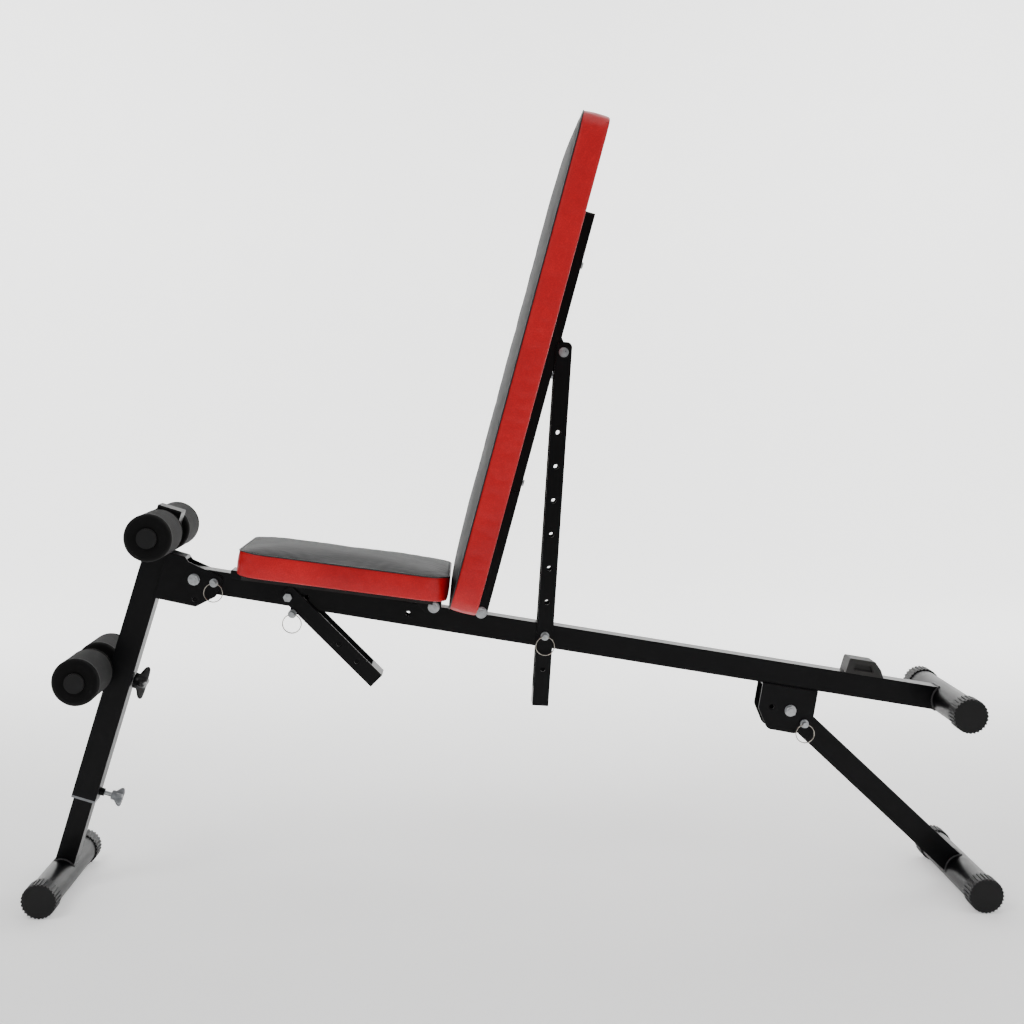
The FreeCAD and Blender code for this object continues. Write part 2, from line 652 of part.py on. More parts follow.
def build_backrest():
    """Backrest: cushion, board, tube, link plates, strut lugs, screws and top plug."""
    depth = number("back_board_face - back_face")
    shape = cushion_shape(number("back_low"), number("back_high"), 0, depth, number("crown"),
                          number("plan_radius"))
    # the slab is drawn lying down, and its frame stands it up with the domed face to the front
    solid_feature("backrest_cushion", shape, carry(BACK, "back_board_face", "0", "-90"))

    board = new_body("backrest_board")
    low, high = "back_low + board_inset", "back_high - board_inset"
    pad(board, [rectangle("back_board_face", "back_tube_front", low, high)],
        "2 * (cushion_half_width - board_inset)")
    place(board, BACK)

    tube = new_body("backrest_tube")
    front, rear = "back_tube_front", "back_tube_rear"
    wall = "back_tube_wall"
    outline = rectangle(front, rear, "back_tube_start", "back_tube_top")
    core = rectangle(f"{front} + {wall}", f"{rear} - {wall}", "0", "back_tube_top + 5")
    square_tube(tube, outline, core, "2 * plate_inner", wall)
    place(tube, BACK)

    plug = new_body("backrest_tube_plug")
    pad(plug, [rectangle(front, rear, "back_tube_top", "back_tube_top + 3")], "2 * plate_inner")
    place(plug, BACK)

    links = new_body("backrest_link_plates")
    outline = rectangle(front, rear, front, "link_top")
    solid = pad(links, [outline], "2 * plate_outer")
    round_corners(links, solid, [outline[0], outline[1]], "9")
    pocket(links, [rectangle("-40", "40", "-40", "link_top + 5")], "2 * plate_inner")
    pocket(links, [(CENTRE, "bolt_radius + bolt_play")], WIDE)
    place(links, BACK)

    lugs = new_body("backrest_strut_lugs")
    bolt_x, bolt_z = "strut_bolt_back", "strut_bolt_up"
    outline = [(rear, f"{bolt_z} - 22"), (f"{bolt_x} + 5.5", f"{bolt_z} - 5"),
               (f"{bolt_x} + 5.5", f"{bolt_z} + 5"), (rear, f"{bolt_z} + 22")]
    solid = pad(lugs, [outline], "2 * plate_inner")
    round_corners(lugs, solid, [outline[1], outline[2]], "4")
    slot = rectangle(f"{rear} - 5", "60", f"{bolt_z} - 40", f"{bolt_z} + 40")
    pocket(lugs, [slot], "2 * plate_inner - 2 * web_thick")
    pocket(lugs, [((bolt_x, bolt_z), "small_bolt_radius")], WIDE)
    place(lugs, BACK)

    screws = new_body("backrest_screws")
    spots = [(up, "0") for up in (222, 404, 589)]
    pad(screws, [((f"{y}", f"{up}"), "5.5") for up, y in spots], "3.5", "YZ_Plane",
        rear, "One side")
    place(screws, BACK)


def build_back_strut():
    """Long holed strut behind the backrest: two plates beside the beam, joined at the foot."""
    body = new_body("backrest_strut")
    half = "strut_half_width"
    low, high = "-strut_length", "strut_over"
    outline = rectangle(minus(half), half, low, high)
    solid = pad(body, [outline], "2 * back_strut_outer")
    round_corners(body, solid, [outline[2], outline[3]], "9")
    gap = [("40", f"{low} - 20"), ("40", f"{high} + 20"), ("-40", f"{high} + 20"),
           ("-40", f"{low} + strut_web_length"), (f"-{half} + web_thick", f"{low} + strut_web_length"),
           (f"-{half} + web_thick", f"{low} - 20")]
    pocket(body, [gap], "2 * back_strut_inner")
    holes = [(CENTRE, "small_bolt_radius + bolt_play")]
    for step in STRUT_HOLES:
        spot = ("0", f"-strut_pin_down - {step} * strut_hole_pitch")
        holes.append((spot, "pin_radius + pin_play"))
    pocket(body, holes, WIDE)
    place(body, BACK_STRUT)
    through_bolt("backrest_strut_bolt", BACK_STRUT, "2 * back_strut_outer + 2 * side_gap", small=True)


# ---------------------------------------------------------------- pull pins and their rings

PINS = {
    "front_fold": (BEAM, "pin_reach", "0", "beam_size / 2 + pin_gap", "plate_outer + side_gap"),
    "rear_leg": (LEG, "leg_pin_along", "0", "leg_size / 2 + pin_gap", "plate_outer + side_gap"),
    "seat": (BEAM, "seat_pin_along", "-seat_pin_below", "0", "seat_strut_outer + 2 * side_gap"),
    "backrest": (BACK_STRUT, "0", "-strut_pin_down", "beam_size / 2 + pin_gap", "back_strut_outer + side_gap"),
}


def build_pins():
    """Four pull pins with a split ring hanging in the eye of each."""
    for name, (frame, across, up, inner, outer) in PINS.items():
        spot = level(carry(frame, across, up))
        body = new_body(f"{name}_pin")
        pad(body, [(CENTRE, "pin_radius")], f"({outer}) - ({inner}) + 1", "XZ_Plane", inner,
            "One side")
        pad(body, [(CENTRE, "pin_collar_radius")], "pin_collar", "XZ_Plane", outer, "One side")
        pad(body, [(CENTRE, "pin_stem_radius")], "pin_collar + pin_stem", "XZ_Plane", outer,
            "One side")
        eye = f"({outer}) + pin_collar + ring_hole_out"
        pocket(body, [((f"-({eye})", "0"), "ring_hole_radius")], "40", "YZ_Plane")
        place(body, spot)
        ring = DOCUMENT.addObject("Part::Torus", f"{name}_pin_ring")
        ring.Label = f"{name}_pin_ring"
        ring.setExpression("Radius1", bound("ring_radius"))
        ring.setExpression("Radius2", bound("ring_wire"))
        turned = DOCUMENT.addObject("Part::Compound", f"{name}_pin_ring_upright")
        turned.Links = [ring]
        ring.Placement = FreeCAD.Placement(
            FreeCAD.Vector(0, -number(eye), -number("ring_radius")),
            FreeCAD.Rotation(FreeCAD.Vector(1, 0, 0), 90),
        )
        ring.Label = f"{name}_torus"
        turned.Label = f"{name}_pin_ring"
        place(turned, spot)


def check_pieces():
    """Stop if an object failed to compute or a piece has no valid shape."""
    for item in DOCUMENT.Objects:
        if "Invalid" in item.State or "Error" in item.State:
            raise ValueError(f"{item.Label} failed: {item.State}")
    for label, piece in PIECES.items():
        if piece.Shape.isNull() or not piece.Shape.isValid():
            raise ValueError(f"{label} has no valid shape")


def main():
    """Build the bench and write one STEP file for each piece."""
    fill_sheet()
    build_frame()
    build_front_leg()
    build_front_foot()
    build_rear_leg()
    build_seat()
    build_seat_strut()
    build_backrest()
    build_back_strut()
    build_pins()
    DOCUMENT.recompute()
    check_pieces()
    os.makedirs("parts", exist_ok=True)
    for label, piece in PIECES.items():
        piece.Shape.exportStep(f"parts/{label}.step")
    for name, frame in (("front fold", FRONT_FOLD), ("seat", SEAT), ("seat strut", SEAT_STRUT),
                        ("backrest", BACK), ("backrest strut", BACK_STRUT), ("rear leg", LEG),
                        ("lower knob", LOWER_KNOB), ("height knob", HEIGHT_KNOB)):
        print(f"{name} pivot at X {number(frame[0]):.3f}, Z {number(frame[1]):.3f}")
    for name, (frame, across, up, inner, outer) in PINS.items():
        spot = carry(frame, across, up)
        print(f"{name} pin at X {number(spot[0]):.3f}, Z {number(spot[1]):.3f}, "
              f"eye at Y {-number(outer) - number('pin_collar + ring_hole_out'):.3f}")
    for name in ("upper", "lower"):
        spot = carry(POST, f"{name}_bar_across", f"{name}_bar_up")
        print(f"{name} bar at X {number(spot[0]):.3f}, Z {number(spot[1]):.3f}")


main()
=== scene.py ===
"""Looks of an adjustable weight bench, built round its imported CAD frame. Metres, +X to the rear."""

import json
import logging
import math
from dataclasses import dataclass, field
from enum import Enum
from typing import Any, Callable

import bmesh
import bpy
from mathutils import Matrix, Vector, noise

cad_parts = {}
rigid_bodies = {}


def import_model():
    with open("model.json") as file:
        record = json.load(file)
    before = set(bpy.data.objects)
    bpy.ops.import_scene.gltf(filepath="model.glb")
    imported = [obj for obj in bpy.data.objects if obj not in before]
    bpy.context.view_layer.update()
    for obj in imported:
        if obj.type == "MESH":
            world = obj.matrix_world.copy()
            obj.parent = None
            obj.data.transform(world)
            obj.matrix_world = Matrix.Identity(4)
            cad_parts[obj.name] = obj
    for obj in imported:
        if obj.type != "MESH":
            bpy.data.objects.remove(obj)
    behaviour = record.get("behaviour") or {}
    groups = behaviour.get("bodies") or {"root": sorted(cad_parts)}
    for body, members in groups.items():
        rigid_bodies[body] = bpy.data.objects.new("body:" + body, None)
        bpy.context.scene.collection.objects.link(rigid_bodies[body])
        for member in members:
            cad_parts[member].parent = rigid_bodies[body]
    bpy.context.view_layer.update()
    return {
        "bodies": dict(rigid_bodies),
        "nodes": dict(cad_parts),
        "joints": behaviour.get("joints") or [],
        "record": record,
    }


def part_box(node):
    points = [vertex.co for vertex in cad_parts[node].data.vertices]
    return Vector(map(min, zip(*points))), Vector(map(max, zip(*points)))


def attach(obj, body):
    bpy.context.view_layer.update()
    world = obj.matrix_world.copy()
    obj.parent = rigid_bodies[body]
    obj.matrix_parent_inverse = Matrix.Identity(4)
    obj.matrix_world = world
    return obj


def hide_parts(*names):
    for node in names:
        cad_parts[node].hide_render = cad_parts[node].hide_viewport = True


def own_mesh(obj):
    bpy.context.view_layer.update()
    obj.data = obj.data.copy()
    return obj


LOG = logging.getLogger("weight_bench")
MM = 0.001
ROUND_SIDES = 8  # points round a welt or a weld bead
Point = tuple[float, float, float]
Tree = bpy.types.NodeTree
Socket = bpy.types.NodeSocket

# angles of the bench's members in degrees, as member() takes them
FRONT_LEG_LEAN = 17.2
BEAM_SLOPE = 9.3
REAR_LEG_SLOPE = 43.05


# ------------------------------------------------------------------ helpers for materials


def to_linear(hex_colour: str, alpha: float = 1.0) -> tuple[float, float, float, float]:
    """Turn an sRGB hex colour into linear values.

    Args:
        hex_colour: six hex digits after a hash sign.
        alpha: opacity that goes with the colour.

    Returns:
        Red, green, blue and alpha for a shader socket.
    """
    values = [int(hex_colour[i : i + 2], 16) / 255 for i in (1, 3, 5)]
    line = [v / 12.92 if v <= 0.04045 else ((v + 0.055) / 1.055) ** 2.4 for v in values]
    return (line[0], line[1], line[2], alpha)


def per_mm(size: float) -> float:
    """Give the texture scale for a pattern.

    Args:
        size: width of one cell of the pattern in millimetres.

    Returns:
        Cells to the metre.
    """
    return 1000.0 / size


def add_node(
    tree: Tree,
    kind: str,
    settings: dict[Any, Any] | None = None,
    links: dict[Any, Socket] | None = None,
) -> bpy.types.Node:
    """Add one shader node with its settings and links.

    Args:
        tree: node tree of the material.
        kind: Blender's name for the node type.
        settings: values for the node's own options or, failing that, its input sockets.
        links: output sockets to join to this node's inputs.

    Returns:
        The new node.
    """
    node = tree.nodes.new(kind)
    for key, value in (settings or {}).items():
        if isinstance(key, str) and hasattr(node, key):
            setattr(node, key, value)
        else:
            node.inputs[key].default_value = value
    for key, socket in (links or {}).items():
        tree.links.new(socket, node.inputs[key])
    return node


class Blotch(Enum):
    """How widely a surface's colour drifts, as the size of one patch in millimetres."""

    FINE = 8.0
    MEDIUM = 35.0
    BROAD = 120.0


@dataclass(frozen=True)
class Finish:
    """A surface: what it is made of, its colours and how it catches the light."""

    name: str
    colour: str
    shade: str
    roughness: float
    roughness_spread: float = 0.06
    metallic: float = 0.0
    ior: float | None = None
    blotch: Blotch = Blotch.MEDIUM
    edge_mm: float = 0.0
    shine: float = 0.5

    def build(self) -> bpy.types.Material:
        """Make the Blender material.

        Returns:
            A material with drifting colour and roughness and this finish's own relief.
        """
        material = bpy.data.materials.new(self.name)
        material.use_nodes = True
        tree = material.node_tree
        shader = tree.nodes["Principled BSDF"]
        coords = add_node(tree, "ShaderNodeTexCoord").outputs["Object"]
        drift = add_node(
            tree,
            "ShaderNodeTexNoise",
            {"Scale": per_mm(self.blotch.value), "Detail": 5.0, "Roughness": 0.6},
            {"Vector": coords},
        ).outputs["Fac"]
        ramp = add_node(tree, "ShaderNodeValToRGB", {}, {"Fac": drift})
        ramp.color_ramp.elements[0].position = 0.3
        ramp.color_ramp.elements[0].color = to_linear(self.shade)
        ramp.color_ramp.elements[1].position = 0.7
        ramp.color_ramp.elements[1].color = to_linear(self.colour)
        smear = add_node(
            tree,
            "ShaderNodeMapRange",
            {
                "To Min": self.roughness - self.roughness_spread,
                "To Max": self.roughness + self.roughness_spread,
            },
            {"Value": drift},
        )
        tree.links.new(self.tint(tree, coords, ramp.outputs["Color"]), shader.inputs["Base Color"])
        tree.links.new(smear.outputs["Result"], shader.inputs["Roughness"])
        shader.inputs["Metallic"].default_value = self.metallic
        shader.inputs["Specular IOR Level"].default_value = self.shine
        if self.ior is not None:
            shader.inputs["IOR"].default_value = self.ior
        normal = None
        if self.edge_mm:
            # a tube's corner is rolled and a casting's is broken: the edge takes a thin highlight
            rounded = add_node(tree, "ShaderNodeBevel", {"samples": 6, "Radius": self.edge_mm * MM})
            normal = rounded.outputs["Normal"]
        normal = self.relief(tree, coords, normal)
        if normal is not None:
            tree.links.new(normal, shader.inputs["Normal"])
        self.gloss(shader)
        return material

    def tint(self, tree: Tree, coords: Socket, colour: Socket) -> Socket:
        """Give the colour as it is; a finish that paints shade into its colour overrides this.

        Args:
            tree: node tree of the material.
            coords: object coordinates.
            colour: drifting base colour.

        Returns:
            The surface's colour.
        """
        return colour

    def relief(self, tree: Tree, coords: Socket, normal: Socket | None) -> Socket | None:
        """Give the surface normal unchanged; a finish with a texture overrides this.

        Args:
            tree: node tree of the material.
            coords: object coordinates.
            normal: normal with rounded edges, if the finish rounds them.

        Returns:
            The surface's normal, or None for the mesh's own.
        """
        return normal

    def gloss(self, shader: bpy.types.Node) -> None:
        """Leave the clear coat and sheen alone; a finish that has one overrides this.

        Args:
            shader: the material's shader node.
        """

    @staticmethod
    def bump(
        tree: Tree, height: Socket, depth_mm: float, strength: float, normal: Socket | None
    ) -> Socket:
        """Raise a surface by a height pattern.

        Args:
            tree: node tree of the material.
            height: pattern from 0 to 1.
            depth_mm: height of the pattern in millimetres.
            strength: how much of it shows, 0 to 1.
            normal: normal to build on, if any.

        Returns:
            The raised normal.
        """
        links = {"Height": height}
        if normal is not None:
            links["Normal"] = normal
        settings = {"Strength": strength, "Distance": depth_mm * MM}
        return add_node(tree, "ShaderNodeBump", settings, links).outputs["Normal"]


@dataclass(frozen=True)
class PowderCoat(Finish):
    """Steel under baked powder paint: glossy, with a faint orange peel."""

    peel_mm: float = 3.2
    peel_depth_mm: float = 0.12

    def relief(self, tree: Tree, coords: Socket, normal: Socket | None) -> Socket | None:
        """Add the orange peel that the powder leaves when it flows.

        Args:
            tree: node tree of the material.
            coords: object coordinates.
            normal: normal with rounded edges.

        Returns:
            The rippled normal.
        """
        peel = add_node(
            tree,
            "ShaderNodeTexNoise",
            {"Scale": per_mm(self.peel_mm), "Detail": 2.0},
            {"Vector": coords},
        )
        return self.bump(tree, peel.outputs["Fac"], self.peel_depth_mm, 0.25, normal)

    def gloss(self, shader: bpy.types.Node) -> None:
        """Lay the clear top of the powder over the pigment.

        Args:
            shader: the material's shader node.
        """
        shader.inputs["Coat Weight"].default_value = 0.02
        shader.inputs["Coat Roughness"].default_value = 0.12


@dataclass(frozen=True)
class PlatedSteel(Finish):
    """Steel with a bright plated skin, drawn or turned before plating."""

    line_mm: float = 0.5
    line_depth_mm: float = 0.04

    def relief(self, tree: Tree, coords: Socket, normal: Socket | None) -> Socket | None:
        """Add the fine lines left by drawing and turning, softened by the plating.

        Args:
            tree: node tree of the material.
            coords: object coordinates.
            normal: normal with rounded edges.

        Returns:
            The scored normal.
        """
        lines = add_node(
            tree,
            "ShaderNodeTexNoise",
            {"Scale": per_mm(self.line_mm), "Detail": 3.0, "Distortion": 0.4},
            {"Vector": coords},
        )
        return self.bump(tree, lines.outputs["Fac"], self.line_depth_mm, 0.3, normal)


@dataclass(frozen=True)
class Moulded(Finish):
    """Plastic or rubber from a spark-eroded mould: an even fine grain."""

    grain_mm: float = 0.9
    grain_depth_mm: float = 0.08

    def relief(self, tree: Tree, coords: Socket, normal: Socket | None) -> Socket | None:
        """Add the mould's grain, drawn as coarse as it needs to show.

        Args:
            tree: node tree of the material.
            coords: object coordinates.
            normal: normal with rounded edges.

        Returns:
            The grained normal.
        """
        grain = add_node(
            tree,
            "ShaderNodeTexNoise",
            {"Scale": per_mm(self.grain_mm), "Detail": 3.0},
            {"Vector": coords},
        )
        return self.bump(tree, grain.outputs["Fac"], self.grain_depth_mm, 0.5, normal)


@dataclass(frozen=True)
class CellFoam(Finish):
    """Closed-cell foam with a rubbery skin full of pinprick cells."""

    cell_mm: float = 1.6
    cell_depth_mm: float = 0.25
    dent_mm: float = 22.0
    dent_depth_mm: float = 0.8

    def relief(self, tree: Tree, coords: Socket, normal: Socket | None) -> Socket | None:
        """Sink the cells into the skin, over slow dents from use.

        Args:
            tree: node tree of the material.
            coords: object coordinates.
            normal: normal to build on.

        Returns:
            The pitted normal.
        """
        cells = add_node(
            tree,
            "ShaderNodeTexVoronoi",
            {"Scale": per_mm(self.cell_mm), "Randomness": 1.0},
            {"Vector": coords},
        )
        dents = add_node(
            tree,
            "ShaderNodeTexNoise",
            {"Scale": per_mm(self.dent_mm), "Detail": 3.0},
            {"Vector": coords},
        )
        pitted = self.bump(tree, cells.outputs["Distance"], self.cell_depth_mm, 0.55, normal)
        return self.bump(tree, dents.outputs["Fac"], self.dent_depth_mm, 0.35, pitted)

    def gloss(self, shader: bpy.types.Node) -> None:
        """Give the skin the dusty sheen of foam rubber.

        Args:
            shader: the material's shader node.
        """
        shader.inputs["Sheen Weight"].default_value = 0.06
        shader.inputs["Sheen Roughness"].default_value = 0.6


@dataclass(frozen=True)
class CoatedLeather(Finish):
    """Polyurethane leather: a knitted back under a film embossed with a pebble grain."""

    pebble_mm: float = 1.9
    fold_mm: float = 26.0
    pebble_depth_mm: float = 0.16
    fold_depth_mm: float = 2.0

    def tint(self, tree: Tree, coords: Socket, colour: Socket) -> Socket:
        """Paint shade into the valleys between the pebbles: the colour is darkened there.

        Args:
            tree: node tree of the material.
            coords: object coordinates.
            colour: drifting base colour.

        Returns:
            The colour with painted shade in the valleys of its grain.
        """
        pebbles = self.pebbles(tree, coords)
        # painted shade: the colour is multiplied down to 0.72 in the valleys between the pebbles
        depth = add_node(
            tree, "ShaderNodeMapRange", {"To Min": 0.72, "To Max": 1.05}, {"Value": pebbles}
        )
        return add_node(
            tree,
            "ShaderNodeVectorMath",
            {"operation": "MULTIPLY"},
            {0: colour, 1: depth.outputs["Result"]},
        ).outputs["Vector"]

    def pebbles(self, tree: Tree, coords: Socket) -> Socket:
        """Give the embossed grain.

        Args:
            tree: node tree of the material.
            coords: object coordinates.

        Returns:
            Height that is 0 in the valleys and rises over each pebble.
        """
        return add_node(
            tree,
            "ShaderNodeTexVoronoi",
            {"feature": "SMOOTH_F1", "Scale": per_mm(self.pebble_mm), "Smoothness": 0.35},
            {"Vector": coords},
        ).outputs["Distance"]

    def relief(self, tree: Tree, coords: Socket, normal: Socket | None) -> Socket | None:
        """Emboss the grain over the slow pull of the film across the foam.

        Args:
            tree: node tree of the material.
            coords: object coordinates.
            normal: normal to build on.

        Returns:
            The grained normal.
        """
        folds = add_node(
            tree,
            "ShaderNodeTexNoise",
            {"Scale": per_mm(self.fold_mm), "Detail": 3.0, "Distortion": 1.2},
            {"Vector": coords},
        )
        pulled = self.bump(tree, folds.outputs["Fac"], self.fold_depth_mm, 0.3, normal)
        pebbles = self.pebbles(tree, coords)
        return self.bump(tree, pebbles, self.pebble_depth_mm, 0.5, pulled)

    def gloss(self, shader: bpy.types.Node) -> None:
        """Add the thin lacquer of the film.

        Args:
            shader: the material's shader node.
        """
        shader.inputs["Coat Weight"].default_value = 0.03
        shader.inputs["Coat Roughness"].default_value = 0.35

@dataclass(frozen=True)
class BackingCloth(Finish):
    """Black woven backing stapled over the plywood behind a cushion."""

    thread_mm: float = 1.4
    thread_depth_mm: float = 0.25

    def relief(self, tree: Tree, coords: Socket, normal: Socket | None) -> Socket | None:
        """Weave threads both ways, drawn coarse enough to show.

        Args:
            tree: node tree of the material.
            coords: object coordinates.
            normal: normal to build on.

        Returns:
            The woven normal.
        """
        # at scale 1 a wave texture repeats about 6.3 times in a unit
        for direction in ("X", "Y"):
            threads = add_node(
                tree,
                "ShaderNodeTexWave",
                {"bands_direction": direction, "Scale": per_mm(self.thread_mm) / 6.3},
                {"Vector": coords},
            )
            normal = self.bump(tree, threads.outputs["Fac"], self.thread_depth_mm, 0.5, normal)
        return normal


@dataclass(frozen=True)
class StudioPaint(Finish):
    """White paint on a studio floor and wall that are lit from behind as well."""

    glow: float = 0.42

    def gloss(self, shader: bpy.types.Node) -> None:
        """Let the surface glow a little, as a lit sweep does.

        Args:
            shader: the material's shader node.
        """
        shader.inputs["Emission Color"].default_value = (1.0, 1.0, 1.0, 1.0)
        shader.inputs["Emission Strength"].default_value = self.glow


# Mild steel tube under black powder paint: deep black, with soft bright lines along its corners.
BLACK_STEEL = PowderCoat(
    "powder_coated_steel", "#08080a", "#050506", 0.36, 0.05, ior=1.45, edge_mm=2.2, shine=0.14
)
# Zinc-plated fasteners: bright grey with a cloudy shine.
ZINC = PlatedSteel(
    "zinc_plated_steel", "#bcbec0", "#8f9193", 0.3, 0.08, 1.0, blotch=Blotch.FINE, edge_mm=0.5
)
# Nickel-plated spring wire: brighter and a little warmer than zinc.
NICKEL = PlatedSteel(
    "nickel_plated_wire", "#b4b0a8", "#8f8a80", 0.2, 0.05, 1.0, blotch=Blotch.FINE
)
# Polypropylene caps and plugs, moulded: dark, dull and finely grained.
CAP_PLASTIC = Moulded(
    "moulded_polypropylene", "#0c0c0d", "#070708", 0.5, 0.05, ior=1.49, edge_mm=0.6, shine=0.25
)
# Glass-filled nylon knob, moulded black, slightly polished by hands.
KNOB_NYLON = Moulded("moulded_black_nylon", "#0e0e10", "#09090a", 0.4, 0.08, ior=1.53, shine=0.4)
# ABS bush and star knob, moulded in silver grey.
GREY_ABS = Moulded(
    "moulded_grey_abs", "#7f8184", "#686a6d", 0.33, 0.05, ior=1.54, edge_mm=0.5, grain_mm=0.7
)
# Moulded rubber block and pad: nearly matt, with a brown bloom.
BUFFER_RUBBER = Moulded(
    "moulded_rubber", "#16130f", "#0d0b09", 0.62, 0.07, ior=1.52, edge_mm=1.0, grain_mm=1.4
)
# Nitrile foam sleeve, extruded and skinned: matt black with tiny cells.
ROLLER_FOAM = CellFoam("nitrile_foam", "#080809", "#050505", 0.85, 0.06, ior=1.45, shine=0.08)
# Red polyurethane leather on the sides of the cushions.
RED_LEATHER = CoatedLeather(
    "red_polyurethane_leather",
    "#cc0a18",
    "#b00714",
    0.42,
    0.05,
    ior=1.5,
    blotch=Blotch.BROAD,
    shine=0.3,
)
# Black polyurethane leather on the faces of the cushions: it greys where the light grazes it.
BLACK_LEATHER = CoatedLeather(
    "black_polyurethane_leather",
    "#1b1b1d",
    "#141416",
    0.58,
    0.06,
    ior=1.5,
    blotch=Blotch.BROAD,
    shine=0.1,
)
# Welt cord of the same black leather, rolled thin and stitched in at the seam.
WELT = CoatedLeather(
    "black_leather_welt", "#1d1b1c", "#121112", 0.45, 0.05, ior=1.5, pebble_mm=1.2, fold_mm=9.0
)
# Woven polypropylene cloth behind the boards.
BACKING = BackingCloth("woven_backing_cloth", "#232323", "#171717", 0.85, 0.05, ior=1.45)
# Weld metal under the same powder paint: rounded ripples.
WELD_METAL = PowderCoat("painted_weld_metal", "#09090a", "#060607", 0.3, 0.06, peel_mm=1.6)
# Emulsion on the studio floor and wall, rolled on: pale and matt.
STUDIO_PAINT = StudioPaint(
    "matt_studio_paint", "#f6f6f5", "#f3f3f2", 0.85, 0.03, blotch=Blotch.BROAD, shine=0.0
)


class Palette:
    """Makes each finish once and hands out its material."""

    def __init__(self) -> None:
        """Start with no materials made."""
        self._made: dict[str, bpy.types.Material] = {}

    def get(self, finish: Finish) -> bpy.types.Material:
        """Give the material of a finish, making it the first time.

        Args:
            finish: the wanted surface.

        Returns:
            Its material.
        """
        if finish.name not in self._made:
            self._made[finish.name] = finish.build()
        return self._made[finish.name]


PALETTE = Palette()


# ------------------------------------------------------------------ helpers for meshes


def member(x_mm: float, z_mm: float, turn: float) -> Matrix:
    """Give a member's frame: an origin in the middle plane, turned about +Y.

    Args:
        x_mm: origin along the bench.
        z_mm: origin above the floor.
        turn: angle in degrees, positive from +Z towards +X.

    Returns:
        Matrix from the member's own axes, in metres, to the bench's.
    """
    place = Matrix.Translation((x_mm * MM, 0, z_mm * MM))
    return place @ Matrix.Rotation(math.radians(turn), 4, "Y")


def make_object(
    name: str,
    points: list[Point],
    faces: list[list[int]],
    place: Matrix,
    finishes: list[Finish],
    paint: Callable[[int], int] | None = None,
) -> bpy.types.Object:
    """Make a smooth closed mesh object from points in millimetres.

    Args:
        name: object name.
        points: points in the piece's own frame, in millimetres.
        faces: lists of point numbers.
        place: matrix from that frame to the bench's, in metres.
        finishes: the finishes of the mesh's material slots.
        paint: gives the slot number of each face, by face number.

    Returns:
        The new object, linked to the scene, with its vertices in place.
    """
    mesh = bpy.data.meshes.new(name)
    mesh.from_pydata([place @ (Vector(p) * MM) for p in points], [], faces)
    for finish in finishes:
        mesh.materials.append(PALETTE.get(finish))
    for polygon in mesh.polygons:
        polygon.use_smooth = True
        polygon.material_index = paint(polygon.index) if paint else 0
    shell = bmesh.new()
    shell.from_mesh(mesh)
    bmesh.ops.recalc_face_normals(shell, faces=shell.faces[:])
    shell.to_mesh(mesh)
    shell.free()
    item = bpy.data.objects.new(name, mesh)
    bpy.context.scene.collection.objects.link(item)
    return item


def ring_faces(rings: int, count: int, closed: bool = False) -> list[list[int]]:
    """Join rings of points into quads, and cap the first and last unless they meet.

    Args:
        rings: number of rings.
        count: points in each ring.
        closed: whether the last ring joins the first.

    Returns:
        Faces as lists of point numbers.
    """
    faces = []
    for i in range(rings if closed else rings - 1):
        here, there = i * count, (i + 1) % rings * count
        for j in range(count):
            k = (j + 1) % count
            faces.append([here + j, here + k, there + k, there + j])
    if not closed:
        faces.append(list(range(count))[::-1])
        faces.append([(rings - 1) * count + j for j in range(count)])
    return faces


def tube_along(
    path: list[Vector], radii: list[float], sides: int, closed: bool
) -> tuple[list[Point], list[list[int]]]:
    """Sweep a round section along a path.

    Args:
        path: points of the path in millimetres.
        radii: section radius at each path point.
        sides: points round the section.
        closed: whether the path ends where it starts.

    Returns:
        Points and faces of the tube.
    """
    points: list[Point] = []
    count = len(path)
    for i, spot in enumerate(path):
        before = path[i - 1] if i or closed else spot
        after = path[(i + 1) % count] if i + 1 < count or closed else spot
        ahead = (after - before).normalized()
        side = ahead.cross(Vector((0.13, 0.21, 0.97))).normalized()
        up = side.cross(ahead)
        for j in range(sides):
            angle = math.tau * j / sides
            offset = (side * math.cos(angle) + up * math.sin(angle)) * radii[i]
            points.append(tuple(spot + offset))
    return points, ring_faces(count, sides, closed)


def subdivide(item: bpy.types.Object, levels: int = 1) -> None:
    """Round an object off with a subdivision surface.

    Args:
        item: the mesh object.
        levels: how many times each face is divided.
    """
    rounding = item.modifiers.new("Rounding", "SUBSURF")
    rounding.levels = levels
    rounding.render_levels = levels


# ------------------------------------------------------------------ cushions


